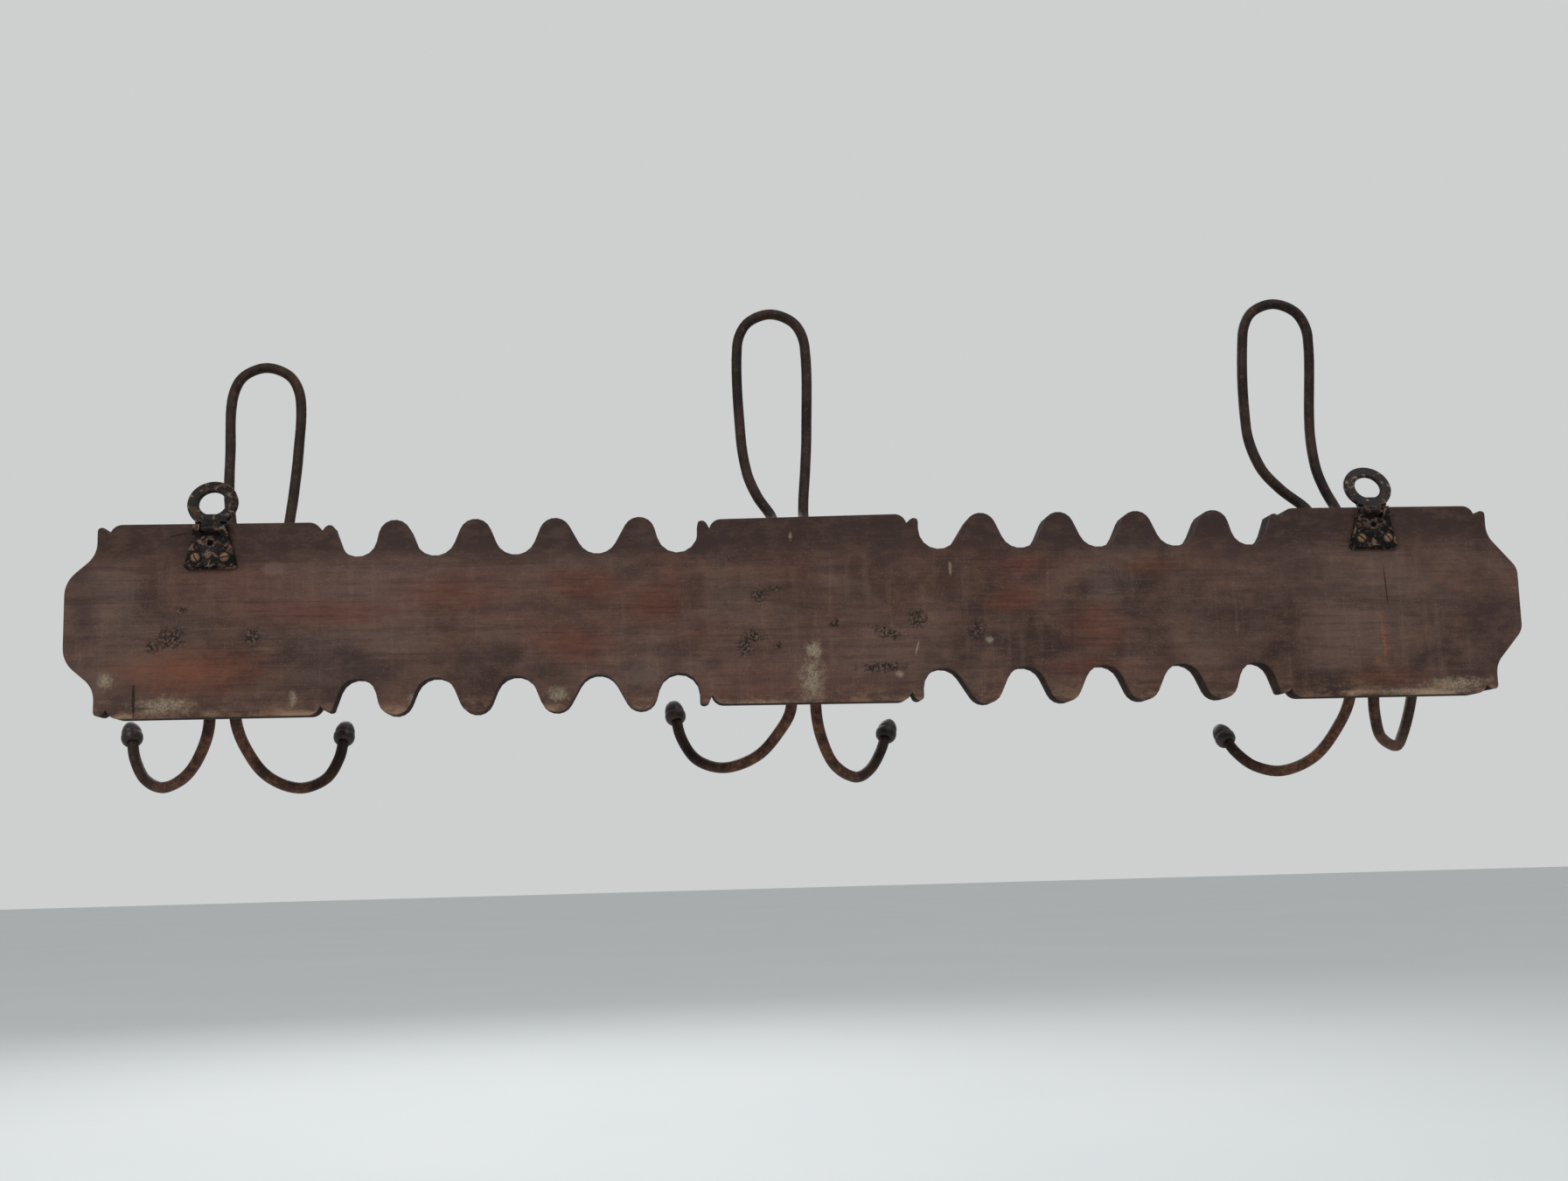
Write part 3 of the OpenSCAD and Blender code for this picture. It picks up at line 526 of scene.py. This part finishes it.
# ---------------------------------------------------------------------------
# Acorn tips: small iron acorns cast onto the ends of the prongs, a shallow cup
# and a blunt nut with a step between, so that no coat catches on a cut end.
# ---------------------------------------------------------------------------
acorn_coat, tree, place, shader = finish_coat("handled_black_iron")
acorn_fine = mottle(tree, place, 500, 6, rough=0.7)
acorn_cloud = mottle(tree, place, 120, 5)
cast_iron = lay_over(tree, between(tree, acorn_cloud, 0.4, 0.6), stain(25, 19, 18), stain(48, 33, 28))
cast_iron = veil(tree, between(tree, acorn_fine, 0.54, 0.68), 0.7, cast_iron, stain(84, 54, 42))
tree.links.new(cast_iron, shader.inputs["Base Color"])
shader.inputs["Metallic"].default_value = 0.4
tree.links.new(between(tree, acorn_fine, 0.3, 0.7, 0.38, 0.6), shader.inputs["Roughness"])
tree.links.new(dent(tree, acorn_fine, 0.00009), shader.inputs["Normal"])

acorn_outline = [
    (3.3, 0.15), (3.9, 0.05), (4.8, 0.6), (5.6, 1.7), (6.05, 3.1), (6.16, 4.5), (6.1, 5.4), (5.85, 5.9),
    (5.5, 6.1), (5.45, 6.5), (5.66, 7.0), (5.62, 8.0), (5.3, 9.5), (4.7, 11.1), (3.8, 12.7), (2.6, 14.0),
    (1.4, 14.6), (0.6, 14.83), (0.0, 14.88),
]
acorn_ends = {
    "acorn_left_outer": ("left", 1), "acorn_left_inner": ("left", -1),
    "acorn_centre_left": ("centre", 1), "acorn_centre_right": ("centre", -1),
    "acorn_right_inner": ("right", 1), "acorn_right_outer": ("right", -1),
}
for name, (hook, side) in acorn_ends.items():
    route = wire_route(hook)
    if side < 0:
        route = route[::-1]
    tip, nxt = route[0], route[1]
    span = (nxt - tip).length
    step = 1 / math.ceil(span / 0.008)
    first, second = lean_at(route, 0), lean_at(route, 1)
    inner_point = (
        (2 * step**3 - 3 * step**2 + 1) * tip + (step**3 - 2 * step**2 + step) * span * first
        + (3 * step**2 - 2 * step**3) * nxt + (step**3 - step**2) * span * second
    )
    out = (tip - inner_point).normalized()
    body = bmesh.new()
    ring = [body.verts.new((r / 1000, 0, z / 1000)) for r, z in acorn_outline]
    rim = [body.edges.new(pair) for pair in zip(ring, ring[1:])]
    bmesh.ops.spin(
        body, geom=ring + rim, cent=(0, 0, 0), axis=(0, 0, 1), angle=2 * math.pi, steps=40, use_merge=True,
    )
    bmesh.ops.remove_doubles(body, verts=body.verts, dist=1e-6)
    bmesh.ops.holes_fill(body, edges=[e for e in body.edges if e.is_boundary], sides=0)
    bmesh.ops.recalc_face_normals(body, faces=body.faces)
    turn = out.to_track_quat("Z", "Y").to_matrix().to_4x4()
    seat = Matrix.Translation(tip - out * 0.0054) @ turn
    for v in body.verts:
        rough_cast = 0.5 + 0.5 * noise.noise(v.co * 260 + Vector((side, 0, len(hook))))
        v.co -= v.normal * 0.00014 * rough_cast
    bmesh.ops.transform(body, matrix=seat, verts=body.verts)
    acorn = put_together(f"{name}_tip", body, acorn_coat, 50)
    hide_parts(name)
    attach(acorn, "rack")

# ---------------------------------------------------------------------------
# Saddles and their screws: a strip of sheet iron bent over the two strands of
# each wire, with a round foot at each side, held by one round-head wood screw
# a foot. Dull black, rusted where the stain has crept in.
# ---------------------------------------------------------------------------
saddle_coat, tree, place, shader = finish_coat("dull_black_plate")
plate_cloud = mottle(tree, place, 80, 6)
plate_fine = mottle(tree, place, 520, 6, rough=0.75)
plate = lay_over(tree, between(tree, plate_cloud, 0.4, 0.62), stain(38, 31, 29), stain(66, 50, 42))
plate = veil(tree, between(tree, plate_fine, 0.54, 0.68), 0.75, plate, stain(104, 68, 46))
tree.links.new(plate, shader.inputs["Base Color"])
shader.inputs["Metallic"].default_value = 0.35
tree.links.new(between(tree, plate_fine, 0.3, 0.7, 0.48, 0.74), shader.inputs["Roughness"])
tree.links.new(dent(tree, plate_fine, 0.00025), shader.inputs["Normal"])

for hook in hook_bends:
    body = merged_copy(f"hook_saddle_{hook}")
    break_arrises(body, 0.0004, 3)
    saddle = put_together(f"saddle_{hook}", body, saddle_coat)
    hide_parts(f"hook_saddle_{hook}")
    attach(saddle, "rack")
    body = merged_copy(f"saddle_screws_{hook}")
    break_arrises(body, 0.00012, 2, 40)
    screws = put_together(f"saddle_screw_pair_{hook}", body, saddle_coat, 30)
    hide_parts(f"saddle_screws_{hook}")
    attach(screws, "rack")

# ---------------------------------------------------------------------------
# Hanger straps and rings: a sheet-iron strap folded over the bar of a flat
# forged ring, so that the ring swings, then clinched with an eyelet. Both were
# dipped in black japan, which has chipped to brown iron and gone beige with dust.
# ---------------------------------------------------------------------------
japan_coat, tree, place, shader = finish_coat("chipped_black_japan")
chip_cloud = mottle(tree, place, 210, 7, rough=0.7, warp=0.6)
chip_fine = mottle(tree, place, 700, 5, rough=0.7)
chips = between(tree, chip_cloud, 0.53, 0.585)
beige = between(tree, mottle(tree, place, 260, 6, shift=(3, 1, 0), warp=0.8), 0.55, 0.6)
japan = lay_over(tree, between(tree, chip_fine, 0.35, 0.7), stain(7, 5, 6), stain(19, 14, 14))
japan = veil(tree, chips, 0.8, japan, stain(70, 50, 42))
japan = veil(tree, beige, 0.7, japan, stain(104, 82, 68))
tree.links.new(japan, shader.inputs["Base Color"])
shader.inputs["Metallic"].default_value = 0.0
shader.inputs["Specular IOR Level"].default_value = 0.1
tree.links.new(between(tree, chips, 0.0, 1.0, 0.4, 0.8), shader.inputs["Roughness"])
japan_bumps = dent(tree, scaled(tree, chips, -1.0), 0.00008)
tree.links.new(dent(tree, chip_fine, 0.00012, japan_bumps), shader.inputs["Normal"])

for side in ("left", "right"):
    body = merged_copy(f"hanger_strap_{side}")
    break_arrises(body, 0.00022, 2)
    strap = put_together(f"strap_{side}", body, japan_coat)
    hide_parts(f"hanger_strap_{side}")
    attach(strap, "rack")
    body = merged_copy(f"hanger_ring_{side}")
    break_arrises(body, 0.00035, 3, 40)
    for v in body.verts:
        v.co -= v.normal * 0.00009 * (0.5 + 0.5 * noise.noise(v.co * 260))
    ring = put_together(f"ring_{side}", body, japan_coat)
    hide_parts(f"hanger_ring_{side}")
    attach(ring, f"{side}_ring")

# ---------------------------------------------------------------------------
# Eyelets and hanger screws: a hollow iron rivet rolled over the two leaves of
# the strap, and below it two slotted round-head wood screws, brown and brassy
# with age, nearly black low on their heads and in their slots.
# ---------------------------------------------------------------------------
eyelet_coat, tree, place, shader = finish_coat("worn_black_rivet")
rivet_fine = mottle(tree, place, 620, 5, rough=0.7)
rivet = lay_over(tree, between(tree, rivet_fine, 0.42, 0.65), stain(22, 17, 18), stain(78, 62, 55))
tree.links.new(rivet, shader.inputs["Base Color"])
shader.inputs["Metallic"].default_value = 0.1
shader.inputs["Specular IOR Level"].default_value = 0.2
shader.inputs["Roughness"].default_value = 0.6
tree.links.new(dent(tree, rivet_fine, 0.00015), shader.inputs["Normal"])

screw_coat, tree, place, shader = finish_coat("tarnished_screw_heads")
screw_fine = mottle(tree, place, 480, 6, rough=0.7)
screw_depth = node(tree, "ShaderNodeSeparateXYZ", {0: place}).outputs[1]
# Nearly black below 3.5 mm up the heads: in their slots and round their foot on the strap
low_on_the_heads = between(tree, screw_depth, 0.0041, 0.0035)
brassy = lay_over(tree, between(tree, screw_fine, 0.36, 0.62), stain(74, 52, 39), stain(116, 86, 62))
brassy = veil(tree, between(tree, screw_fine, 0.6, 0.68), 0.8, brassy, stain(60, 42, 34))
brassy = lay_over(tree, low_on_the_heads, brassy, stain(20, 14, 12))
tree.links.new(brassy, shader.inputs["Base Color"])
shader.inputs["Metallic"].default_value = 0.25
shader.inputs["Specular IOR Level"].default_value = 0.3
shader.inputs["Roughness"].default_value = 0.6
tree.links.new(dent(tree, screw_fine, 0.0002), shader.inputs["Normal"])

for side in ("left", "right"):
    body = merged_copy(f"hanger_eyelet_{side}")
    break_arrises(body, 0.00018, 3, 30)
    eyelet = put_together(f"eyelet_{side}", body, eyelet_coat, 40)
    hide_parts(f"hanger_eyelet_{side}")
    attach(eyelet, "rack")
    body = merged_copy(f"hanger_screws_{side}")
    break_arrises(body, 0.0001, 2, 40)
    screws = put_together(f"hanger_screw_pair_{side}", body, screw_coat, 30)
    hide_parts(f"hanger_screws_{side}")
    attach(screws, "rack")

# ---------------------------------------------------------------------------
# Studio: a plain pale floor well below the rack, a pale surround and soft
# lamps from above and both sides.
# ---------------------------------------------------------------------------
floor_body = bmesh.new()
bmesh.ops.create_grid(floor_body, x_segments=1, y_segments=1, size=20)
bmesh.ops.translate(floor_body, verts=floor_body.verts, vec=(0, 0, -0.45))
floor_coat, tree, place, shader = finish_coat("pale_floor")
floor_tone = lay_over(tree, mottle(tree, place, 1.5, 3), stain(198, 202, 204), stain(206, 209, 210))
tree.links.new(floor_tone, shader.inputs["Base Color"])
shader.inputs["Roughness"].default_value = 0.85
floor = put_together("floor", floor_body, floor_coat)

world = bpy.data.worlds.new("pale_surround")
world.use_nodes = True
world.node_tree.nodes["Background"].inputs["Color"].default_value = stain(206, 208, 208)
world.node_tree.nodes["Background"].inputs["Strength"].default_value = 1.0
scene.world = world


def soft_lamp(name, where, aim, size, watts, tint):
    lamp = bpy.data.lights.new(name, "AREA")
    lamp.shape = "DISK"
    lamp.size = size
    lamp.energy = watts
    lamp.color = tint
    made = bpy.data.objects.new(name, lamp)
    scene.collection.objects.link(made)
    made.location = where
    made.rotation_euler = (Vector(aim) - Vector(where)).to_track_quat("-Z", "Y").to_euler()


soft_lamp("window", (1.3, 1.9, 1.5), (0, 0, 0), 1.2, 36, (1.0, 0.99, 0.97))
soft_lamp("ceiling", (-1.2, 1.2, 2.0), (0, 0, 0), 1.4, 26, (0.97, 0.99, 1.0))
soft_lamp("front_fill", (0.4, -2.2, 1.4), (0, 0, 0), 1.6, 26, (1.0, 1.0, 1.0))
